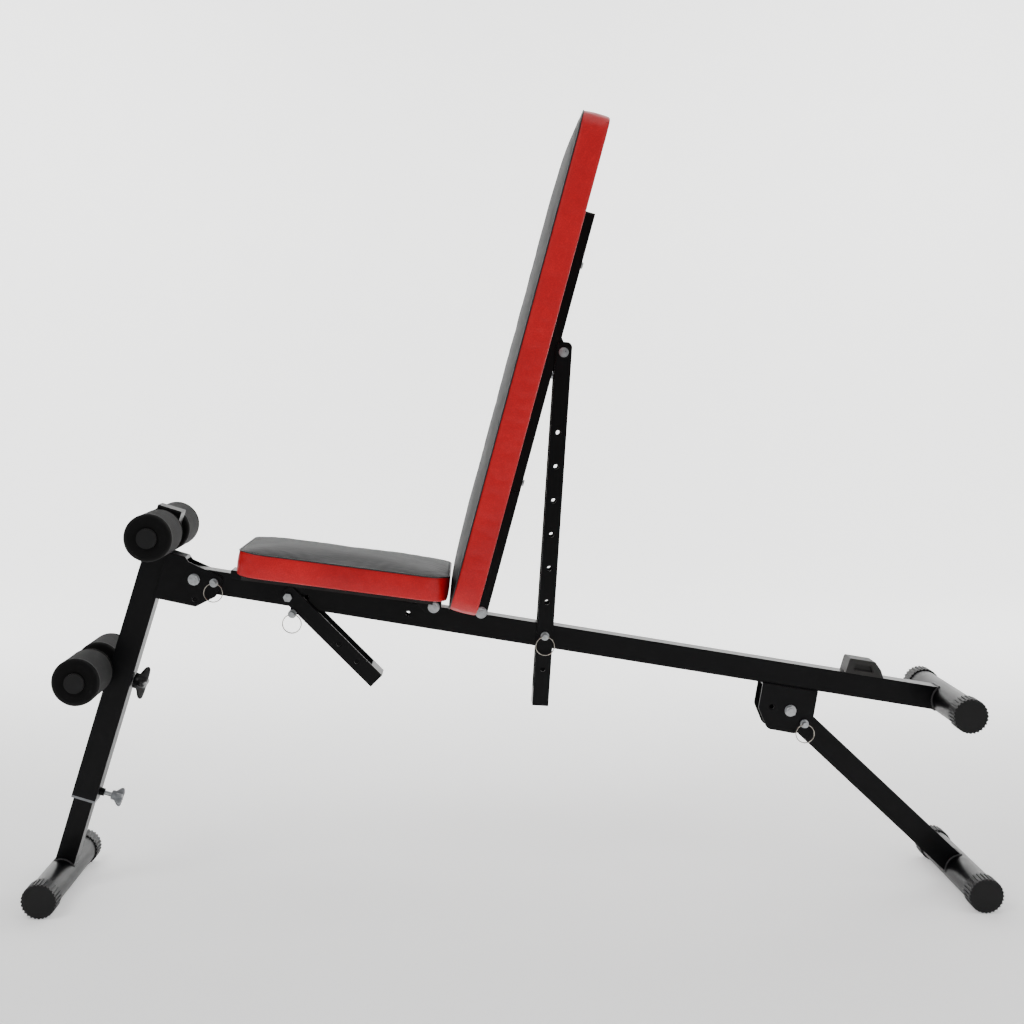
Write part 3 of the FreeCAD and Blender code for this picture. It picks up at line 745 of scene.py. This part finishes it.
@dataclass
class Cushion:
    """Foam slab in sewn leather: red sides, black face, and a welt in the seam between.

    Sizes are millimetres in the cushion's own frame: X along, Y across and Z out of its face.
    """

    name: str
    body: str
    node: str
    place: Matrix
    low: float
    high: float
    base: float
    seam: float
    half_width: float = 137.0
    corner: float = 42.0
    cell: float = 5.5
    side_rings: int = 8
    dome: float = 5.0
    most_swell: float = 9.0
    side_swell: float = 2.2
    settle_frames: int = 20
    pucker: float = 0.9
    pucker_reach: float = 16.0
    pucker_patch: float = 13.0
    slack: float = 0.7
    slack_patch: float = 48.0
    creases: tuple[tuple[float, float], ...] = ()
    crease_width: float = 4.5
    crease_wander: float = 7.0
    crease_patch: float = 70.0
    seam_fade: float = 6.0
    fill: float = 0.8
    welt_radius: float = 1.1
    yields_to: str = ""
    yield_share: float = 0.94
    _seam_ring: list[int] = field(default_factory=list)
    _grid: tuple[int, int] = (0, 0)

    def plan(self, s: float, t: float) -> tuple[float, float]:
        """Bend a point of a plain rectangle into the rounded outline.

        Args:
            s: distance along from the middle.
            t: distance across from the middle.

        Returns:
            The same point with the rectangle's corners rounded.
        """
        flat_s = (self.high - self.low) / 2 - self.corner
        flat_t = self.half_width - self.corner
        p, q = (abs(s) - flat_s) / self.corner, (abs(t) - flat_t) / self.corner
        if p <= 0 or q <= 0:
            return s, t
        round_p = p * math.sqrt(1 - q * q / 2)
        round_q = q * math.sqrt(1 - p * p / 2)
        along = math.copysign(flat_s + self.corner * round_p, s)
        across = math.copysign(flat_t + self.corner * round_q, t)
        return along, across

    def slab(self) -> tuple[list[Point], list[list[int]], int]:
        """Lay out the unfilled cover: a domed face, side rings and a flat back.

        Returns:
            Points, faces and the number of faces in the domed face, which come first.
        """
        half = (self.high - self.low) / 2
        middle = (self.high + self.low) / 2
        nx, ny = round(2 * half / self.cell), round(2 * self.half_width / self.cell)
        self._grid = (nx, ny)
        top: list[Point] = []
        back: list[Point] = []
        for i in range(nx + 1):
            for j in range(ny + 1):
                u, v = 2 * i / nx - 1, 2 * j / ny - 1
                along, across = self.plan(u * half, v * self.half_width)
                rise = self.dome * (1 - abs(u) ** 6) * (1 - abs(v) ** 4)
                top.append((middle + along, across, self.seam + rise))
                back.append((middle + along, across, self.base))

        def number(i: int, j: int) -> int:
            """Give the number of a point of the grid.

            Args:
                i: its place along.
                j: its place across.

            Returns:
                The point's number in the face; the back's is one size further on.
            """
            return i * (ny + 1) + j

        ring = [number(i, 0) for i in range(nx)]
        ring += [number(nx, j) for j in range(ny)]
        ring += [number(i, ny) for i in range(nx, 0, -1)]
        ring += [number(0, j) for j in range(ny, 0, -1)]
        self._seam_ring = ring
        points = top + back
        size = len(top)
        faces = []
        for i in range(nx):
            for j in range(ny):
                faces.append(
                    [number(i, j), number(i + 1, j), number(i + 1, j + 1), number(i, j + 1)]
                )
        face_count = len(faces)
        faces += [[size + k for k in reversed(face)] for face in faces]
        loops = [ring]
        for step in range(1, self.side_rings):
            share = step / self.side_rings
            bulge = self.side_swell * 0.4 * math.sin(math.pi * share)
            loop = []
            for k in ring:
                x, y, _ = top[k]
                away = Vector((x - middle, y, 0)).normalized() * bulge
                depth = self.seam + (self.base - self.seam) * share
                loop.append(len(points))
                points.append((x + away.x, y + away.y, depth))
            loops.append(loop)
        loops.append([size + k for k in ring])
        for above, below in zip(loops, loops[1:]):
            for k in range(len(ring)):
                n = (k + 1) % len(ring)
                faces.append([above[k], below[k], below[n], above[n]])
        return points, faces, face_count

    def fill_with_foam(self, item: bpy.types.Object) -> None:
        """Swell the cover by cloth simulation, held at its seam and its board.

        Args:
            item: the unfilled cover; its vertices move to where the filled one rests.
        """
        mesh = item.data
        start = [vertex.co.copy() for vertex in mesh.vertices]
        size = (self._grid[0] + 1) * (self._grid[1] + 1)
        held = item.vertex_groups.new(name="held")
        held.add(self._seam_ring + list(range(size, 2 * size)), 1.0, "REPLACE")
        filling = item.modifiers.new("Filling", "CLOTH")
        cloth = filling.settings
        cloth.quality = 6
        cloth.tension_stiffness = 12
        cloth.compression_stiffness = 12
        cloth.shear_stiffness = 6
        cloth.bending_stiffness = 0.6
        cloth.use_pressure = True
        cloth.uniform_pressure_force = 4
        cloth.vertex_group_mass = "held"
        cloth.shrink_min = -0.004
        cloth.effector_weights.gravity = 0
        filling.collision_settings.use_collision = False
        filling.point_cache.frame_start = 1
        filling.point_cache.frame_end = self.settle_frames
        scene = bpy.context.scene
        for step in range(1, self.settle_frames + 1):
            scene.frame_set(step)
        filled = item.evaluated_get(bpy.context.evaluated_depsgraph_get())
        rest = [vertex.co.copy() for vertex in filled.data.vertices]
        item.modifiers.remove(filling)
        scene.frame_set(1)
        for i, (was, now) in enumerate(zip(start, rest)):
            move = now - was
            most = (self.most_swell if i < size else self.side_swell) * MM
            if move.length > 1e-9:
                # a soft limit, so that a tight middle doesn't end in a flat
                soft = move.normalized() * most * math.tanh(move.length / most)
                mesh.vertices[i].co = was + soft

    def pull_leather(self, item: bpy.types.Object) -> None:
        """Pucker the face along its seam and press in the creases that use leaves.

        Args:
            item: the filled cover.
        """
        inverse = self.place.inverted()
        out = self.place.to_3x3() @ Vector((0, 0, 1))
        half = (self.high - self.low) / 2
        middle = (self.high + self.low) / 2
        size = (self._grid[0] + 1) * (self._grid[1] + 1)
        for vertex in item.data.vertices[:size]:
            spot = inverse @ vertex.co / MM
            edge = min(half - abs(spot.x - middle), self.half_width - abs(spot.y))
            near_seam = math.exp(-max(edge, 0) / self.pucker_reach)
            pucker = self.pucker * near_seam * noise.noise(spot / self.pucker_patch)
            slack = self.slack * noise.noise(spot / self.slack_patch)
            dip = 0.0
            for along, depth in self.creases:
                wander = noise.noise(Vector((spot.y / self.crease_patch, along, 0)))
                line = along + self.crease_wander * wander
                reach = max(0.0, 1 - (spot.y / self.half_width) ** 2)
                dip += depth * reach * math.exp(-(((spot.x - line) / self.crease_width) ** 2))
            fade = min(1.0, max(edge, 0) / self.seam_fade)
            vertex.co += out * (pucker + slack - dip) * MM * fade

    def build(self) -> list[bpy.types.Object]:
        """Build the cushion and its welt.

        Returns:
            The cover and the welt.
        """
        points, faces, face_count = self.slab()

        def paint(number: int) -> int:
            """Give the domed face the first slot and the sides and back the second.

            Args:
                number: the face's number.

            Returns:
                Its slot number.
            """
            return 0 if number < face_count else 1

        finishes = [BLACK_LEATHER, RED_LEATHER]
        cover = make_object(self.name, points, faces, self.place, finishes, paint)
        self.fill_with_foam(cover)
        self.pull_leather(cover)
        seam = [self.place.inverted() @ cover.data.vertices[k].co / MM for k in self._seam_ring]
        subdivide(cover)
        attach(cover, self.body)
        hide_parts(self.node)
        radii = [self.welt_radius] * len(seam)
        welt_points, welt_faces = tube_along(seam, radii, ROUND_SIDES, True)
        welt = make_object(f"{self.name}_welt", welt_points, welt_faces, self.place, [WELT])
        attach(welt, self.body)
        if self.yields_to:
            # where the seat meets the backrest, each piece takes its own copy of its mesh
            for piece in (cover, welt):
                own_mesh(piece)
        LOG.info("%s: %d points, welt in its seam", self.name, len(points))
        return [cover, welt]


# ------------------------------------------------------------------ foam rollers


@dataclass
class FoamRoller:
    """Foam sleeve turning on a roller bar, with soft edges and slightly dished ends."""

    name: str
    body: str
    place: Matrix
    start: float
    length: float = 117.0
    radius: float = 37.7
    bore: float = 12.8
    edge: float = 9.0
    edge_steps: int = 6
    waist: float = 0.35
    waist_steps: int = 14
    dents: float = 0.35
    dent_length: float = 30.0
    segments: int = 96

    def profile(self) -> list[tuple[float, float]]:
        """Lay out half of the sleeve's section, from its bore round to its bore again.

        Returns:
            Pairs of distance along the bar and radius.
        """
        near = [(2.0, self.bore), (1.2, self.bore + 2), (0.6, self.bore + 9)]
        for i in range(self.edge_steps, -1, -1):
            angle = math.pi / 2 * i / self.edge_steps
            along = self.edge * (1 - math.sin(angle))
            near.append((along, self.radius - self.edge * (1 - math.cos(angle))))
        middle = []
        for k in range(1, self.waist_steps):
            dip = self.waist * math.sin(math.pi * k / self.waist_steps)
            middle.append((self.length * k / self.waist_steps, self.radius - dip))
        far = [(self.length - along, radius) for along, radius in reversed(near)]
        return near + middle + far

    def build(self) -> bpy.types.Object:
        """Build the sleeve.

        Returns:
            The foam sleeve.
        """
        profile = self.profile()
        points: list[Point] = []
        for along, radius in profile:
            for j in range(self.segments):
                angle = math.tau * j / self.segments
                x, z = math.cos(angle), math.sin(angle)
                spot = Vector((x * 1.5, (self.start + along) / self.dent_length, z * 1.5))
                soft = radius + (self.dents * noise.noise(spot) if radius > self.bore + 1 else 0)
                points.append((soft * x, self.start + along, soft * z))
        sleeve = make_object(
            self.name,
            points,
            ring_faces(len(profile), self.segments, True),
            self.place,
            [ROLLER_FOAM],
        )
        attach(sleeve, self.body)
        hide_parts(self.body)
        LOG.info("%s: foam sleeve %.0f mm long", self.name, self.length)
        return sleeve


# ------------------------------------------------------------------ knobs, rings and welds


@dataclass
class WingedKnob:
    """Hand knob with swept wings on a threaded stud, drawn about its own Z axis."""

    name: str
    node: str
    place: Matrix
    finish: Finish
    slot: str
    section: tuple[tuple[float, float, float], ...]
    wings: int
    thinness: float
    stud: tuple[float, float]
    stud_radius: float = 4.0
    thread_mm: float = 1.25
    thread_depth: float = 0.55
    stud_segments: int = 24
    segments: int = 144

    def handle(self) -> bpy.types.Object:
        """Loft the hub and its wings through rings of (height, hub radius, wing reach).

        Returns:
            The moulded handle.
        """
        points: list[Point] = []
        for height, hub, reach in self.section:
            for j in range(self.segments):
                angle = math.tau * j / self.segments
                lobe = (0.5 + 0.5 * math.cos(self.wings * angle)) ** self.thinness
                radius = hub + (reach - hub) * lobe
                points.append((radius * math.cos(angle), radius * math.sin(angle), height))
        faces = ring_faces(len(self.section), self.segments)
        return make_object(self.name, points, faces, self.place, [self.finish])

    def threaded_stud(self) -> bpy.types.Object:
        """Cut the stud's thread as crests and roots down its length.

        Returns:
            The plated stud.
        """
        low, high = self.stud
        turns = round((high - low) / self.thread_mm)
        points: list[Point] = []
        rings = 2 * turns + 1
        for i in range(rings):
            radius = self.stud_radius - (0.0 if i % 2 else self.thread_depth)
            # a ring climbs one pitch in a turn; the end rings stay flat
            climb = 2 * (0 < i < rings - 2)
            for j in range(self.stud_segments):
                angle = math.tau * j / self.stud_segments
                rise = i + climb * j / self.stud_segments
                height = low + (high - low) * rise / (rings - 1)
                points.append((radius * math.cos(angle), radius * math.sin(angle), height))
        faces = ring_faces(rings, self.stud_segments)
        return make_object(f"{self.name}_stud", points, faces, self.place, [ZINC])

    def build(self) -> None:
        """Build the handle and its stud, and let them stand for the CAD knob."""
        for piece, slot in ((self.handle(), self.slot), (self.threaded_stud(), "zinc")):
            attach(piece, self.node)
            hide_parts(self.node)
        LOG.info("%s: %d wings on a threaded stud", self.name, self.wings)


@dataclass
class SplitRing:
    """Key ring of two touching coils of wire, hung in the eye of a pull pin."""

    node: str
    radius: float = 15.2
    wire: float = 0.75
    turns: float = 1.92
    cross_over: float = 14.0
    steps: int = 120
    sides: int = 10

    def build(self) -> bpy.types.Object:
        """Wind the ring where its CAD ring hangs.

        Returns:
            The wire ring.
        """
        low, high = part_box(self.node)
        middle = (Vector(low) + Vector(high)) / 2
        path = []
        for i in range(self.steps + 1):
            share = i / self.steps
            angle = math.pi / 2 + math.tau * self.turns * share
            # the wire crosses from one coil to the other over a short stretch, low on the ring
            across = self.wire * math.tanh((share - 0.5) * self.cross_over)
            path.append(
                Vector((self.radius * math.cos(angle), across, self.radius * math.sin(angle)))
            )
        points, faces = tube_along(path, [self.wire] * len(path), self.sides, False)
        ring = make_object(
            f"{self.node}_wire", points, faces, Matrix.Translation(middle), [NICKEL]
        )
        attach(ring, self.node)
        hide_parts(self.node)
        LOG.info("%s: split ring", self.node)
        return ring


@dataclass
class WeldBead:
    """Bead where a square tube, running up Z, stands on a round cross tube along Y."""

    name: str
    body: str
    place: Matrix
    half: float
    round_radius: float = 25.0
    size: float = 2.4
    corner: float = 3.0
    ripple_mm: float = 2.6
    per_ripple: int = 3
    swell: float = 0.16

    def build(self) -> bpy.types.Object:
        """Run the bead round the foot of the square tube.

        Returns:
            The weld bead.
        """
        inset = self.half - self.corner
        path: list[Vector] = []
        for k, (sx, sy) in enumerate([(1, -1), (1, 1), (-1, 1), (-1, -1)]):
            centre = Vector((sx * inset, sy * inset, 0))
            for i in range(5):
                angle = math.radians(-90 + 90 * k + 22.5 * i)
                spot = centre + Vector((math.cos(angle), math.sin(angle), 0)) * self.corner
                path.append(spot)
        dense: list[Vector] = []
        for i, spot in enumerate(path):
            following = path[(i + 1) % len(path)]
            gap = self.ripple_mm / self.per_ripple
            pieces = max(1, round((following - spot).length / gap))
            dense += [spot.lerp(following, n / pieces) for n in range(pieces)]
        for spot in dense:
            spot.z = math.sqrt(max(0.0, self.round_radius**2 - spot.x**2))
        radii = [
            self.size * (1 + self.swell * math.sin(math.tau * i / self.per_ripple))
            for i in range(len(dense))
        ]
        points, faces = tube_along(dense, radii, ROUND_SIDES, True)
        bead = make_object(self.name, points, faces, self.place, [WELD_METAL])
        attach(bead, self.body)
        LOG.info("%s: weld bead of %d points", self.name, len(dense))
        return bead


# ------------------------------------------------------------------ sub-assemblies


def slot_finishes() -> dict[str, Finish]:
    """Give the finish of each material slot in the record.

    Returns:
        Finishes by slot name.
    """
    return {
        "black_paint": BLACK_STEEL,
        "zinc": ZINC,
        "ring_wire": NICKEL,
        "black_plastic": CAP_PLASTIC,
        "grey_plastic": GREY_ABS,
        "rubber_block": BUFFER_RUBBER,
        "foam": ROLLER_FOAM,
        "upholstery": RED_LEATHER,
        "board": BACKING,
    }


@dataclass
class SteelFrame:
    """Every hard piece that keeps its CAD shape and takes a better surface."""

    finishes: dict[str, Finish] = field(default_factory=slot_finishes)

    def dress(self, frame: dict[str, Any]) -> None:
        """Give each CAD node the finish of its slot.
        """
        for part in frame["record"]["subparts"]:
            finish = self.finishes[part["material_slot"]]
            for material_slot in frame["nodes"][part["node"]].material_slots:
                material_slot.material = PALETTE.get(finish)
            LOG.info("%s: %s", part["node"], finish.name)

    def weld(self) -> None:
        """Run weld beads where the square members stand on the round cross tubes."""
        beads = (
            ("front_foot_weld", "front_foot", member(-748.5, 28, FRONT_LEG_LEAN), 16.0),
            ("rear_foot_weld", "rear_leg", member(748.5, 28, REAR_LEG_SLOPE - 90), 19.0),
            ("rear_stop_weld", "frame", member(719.03, 315.92, BEAM_SLOPE - 90), 19.0),
        )
        for name, body, place, half in beads:
            WeldBead(name, body, place, half).build()


@dataclass
class Upholstery:
    """The seat and backrest cushions."""

    seat_turn: float = 7.5
    back_turn: float = 15.0

    def build(self) -> None:
        """Build both cushions in the frames of their hinges."""
        Cushion(
            name="seat_cover",
            body="seat",
            node="seat_cushion",
            place=member(-132.199, 473.453, self.seat_turn),
            low=-316,
            high=19.5,
            base=23.5,
            seam=62,
            creases=((-28, 1.6), (-52, 1.1), (-150, 0.5)),
            yields_to="seat_tilt",
        ).build()
        back = member(-54.643, 464.401, self.back_turn)
        face = back @ Matrix.Translation((-17 * MM, 0, 0))
        Cushion(
            name="backrest_cover",
            body="backrest",
            node="backrest_cushion",
            place=face @ Matrix.Rotation(math.radians(-90), 4, "Y"),
            low=3,
            high=813,
            base=-6.6,
            seam=37,
            creases=((150, 0.5), (420, 0.4)),
        ).build()


@dataclass
class LegRollers:
    """The four foam rollers on their two bars."""

    start: float = 24.0
    length: float = 117.0

    def build(self) -> None:
        """Build an upper and a lower pair."""
        bars = {"upper": (-575.390, 597.373), "lower": (-691.381, 370.109)}
        for level, (x, z) in bars.items():
            place = member(x, z, FRONT_LEG_LEAN)
            for side, offset in (("left", -self.start - self.length), ("right", self.start)):
                body = f"{level}_{side}_roller"
                FoamRoller(f"{body}_sleeve", body, place, offset, self.length).build()


@dataclass
class Hardware:
    """The hand knobs and the rings of the pull pins."""

    turn: float = FRONT_LEG_LEAN + 90

    def build(self) -> None:
        """Build both knobs and all four rings."""
        WingedKnob(
            name="roller_knob_handle",
            node="lower_roller_knob",
            place=member(-627.760, 350.415, self.turn),
            finish=KNOB_NYLON,
            slot="black_plastic",
            section=(
                (1.5, 9, 9), (1.7, 12, 12), (2.6, 13, 13), (8, 13, 13), (10, 13, 17),
                (12.5, 12.6, 23), (15, 12.2, 26.8), (18, 11.6, 28.2), (20.5, 10.6, 27.6),
                (22.2, 9.4, 25), (23, 8, 20), (23.4, 5, 10),
            ),
            wings=4,
            thinness=3.0,
            stud=(-51.0, 4.0),
        ).build()
        WingedKnob(
            name="height_knob_handle",
            node="height_knob",
            place=member(-685.482, 163.945, self.turn),
            finish=GREY_ABS,
            slot="grey_plastic",
            section=(
                (19.8, 5, 5), (20, 7, 7), (21, 8, 8), (26, 8, 8.4), (28.5, 7.8, 11),
                (31.5, 7.4, 14.5), (34.5, 7, 16.4), (37, 6.4, 16.2), (38.8, 5.6, 13.6),
                (39.4, 4, 8),
            ),
            wings=6,
            thinness=1.6,
            stud=(-4.0, 21.0),
        ).build()
        for pin in ("front_fold", "rear_leg", "seat", "backrest"):
            SplitRing(f"{pin}_pin_ring").build()


@dataclass
class Studio:
    """Pale floor and wall, soft lights and the camera.

    The camera stands at the eye in metres and is turned, pitched and rolled in degrees.
    """

    eye: Point = (-0.0763, -2.7160, 0.8444)
    turn: float = 1.530
    pitch: float = 4.558
    roll: float = 0.134
    lens: float = 58.22
    half_span: float = 9000.0
    front: float = -6000.0
    bend_start: float = 3500.0
    bend_radius: float = 1500.0
    bend_steps: int = 12
    wall_top: float = 7000.0

    def floor(self) -> None:
        """Lay a wide floor that curves up into a wall far behind the bench."""
        profile = [(self.front, 0.0), (self.bend_start, 0.0)]
        for i in range(1, self.bend_steps + 1):
            angle = math.pi / 2 * i / self.bend_steps
            back = self.bend_start + self.bend_radius * math.sin(angle)
            profile.append((back, self.bend_radius * (1 - math.cos(angle))))
        profile.append((self.bend_start + self.bend_radius, self.wall_top))
        points = [(x, y, z) for y, z in profile for x in (-self.half_span, self.half_span)]
        faces = [[2 * i, 2 * i + 1, 2 * i + 3, 2 * i + 2] for i in range(len(profile) - 1)]
        lift = Matrix.Translation((0, 0, -0.0005))
        make_object("studio_floor", points, faces, lift, [STUDIO_PAINT])

    def light(
        self, name: str, spot: Point, size: float, power: float, target: Point = (0, 0, 0.55)
    ) -> None:
        """Hang a square soft box.

        Args:
            name: object name.
            spot: where it hangs, in metres.
            size: its side in metres.
            power: its power in watts.
            target: the point that it faces, by default the middle of the bench.
        """
        data = bpy.data.lights.new(name, "AREA")
        data.energy = power
        data.size = size
        lamp = bpy.data.objects.new(name, data)
        lamp.location = spot
        aim = Vector(target) - Vector(spot)
        lamp.rotation_euler = aim.to_track_quat("-Z", "Y").to_euler()
        bpy.context.scene.collection.objects.link(lamp)

    def build(self) -> None:
        """Set up the floor, lights, sky and camera."""
        self.floor()
        self.light("key_softbox", (-1.8, -2.2, 3.2), 1.8, 48)
        self.light("fill_softbox", (2.8, -2.2, 2.4), 2.0, 22)
        self.light("top_softbox", (0.2, 0.4, 3.4), 2.6, 26)
        self.light("rear_softbox", (1.4, 2.6, 2.4), 2.0, 18)
        # these two face away from the bench and whiten the wall
        self.light("wall_wash_left", (-2.6, 2.2, 2.6), 2.4, 190, (-1.2, 5.0, 1.2))
        self.light("wall_wash_right", (2.6, 2.2, 2.6), 2.4, 190, (1.2, 5.0, 1.2))
        world = bpy.data.worlds.new("studio_air")
        world.use_nodes = True
        sky = world.node_tree.nodes["Background"]
        sky.inputs["Color"].default_value = (1.0, 1.0, 1.0, 1.0)
        sky.inputs["Strength"].default_value = 0.4
        bpy.context.scene.world = world
        data = bpy.data.cameras.new("camera")
        data.lens = self.lens
        data.sensor_width = 36.0
        data.clip_end = 60.0
        camera = bpy.data.objects.new("camera", data)
        turned = Matrix.Rotation(math.radians(-self.turn), 4, "Z")
        tilted = Matrix.Rotation(math.radians(90 - self.pitch), 4, "X")
        rolled = Matrix.Rotation(math.radians(self.roll), 4, "Z")
        camera.matrix_world = Matrix.Translation(self.eye) @ turned @ tilted @ rolled
        bpy.context.scene.collection.objects.link(camera)
        bpy.context.scene.camera = camera
        LOG.info("studio: floor, four soft boxes, two wall washes and camera")


def main() -> None:
    """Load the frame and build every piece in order."""
    logging.basicConfig(level=logging.INFO, format="%(name)s %(message)s")
    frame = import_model()
    steel = SteelFrame()
    steel.dress(frame)
    steel.weld()
    Upholstery().build()
    LegRollers().build()
    Hardware().build()
    Studio().build()


if __name__ == "__main__":
    main()
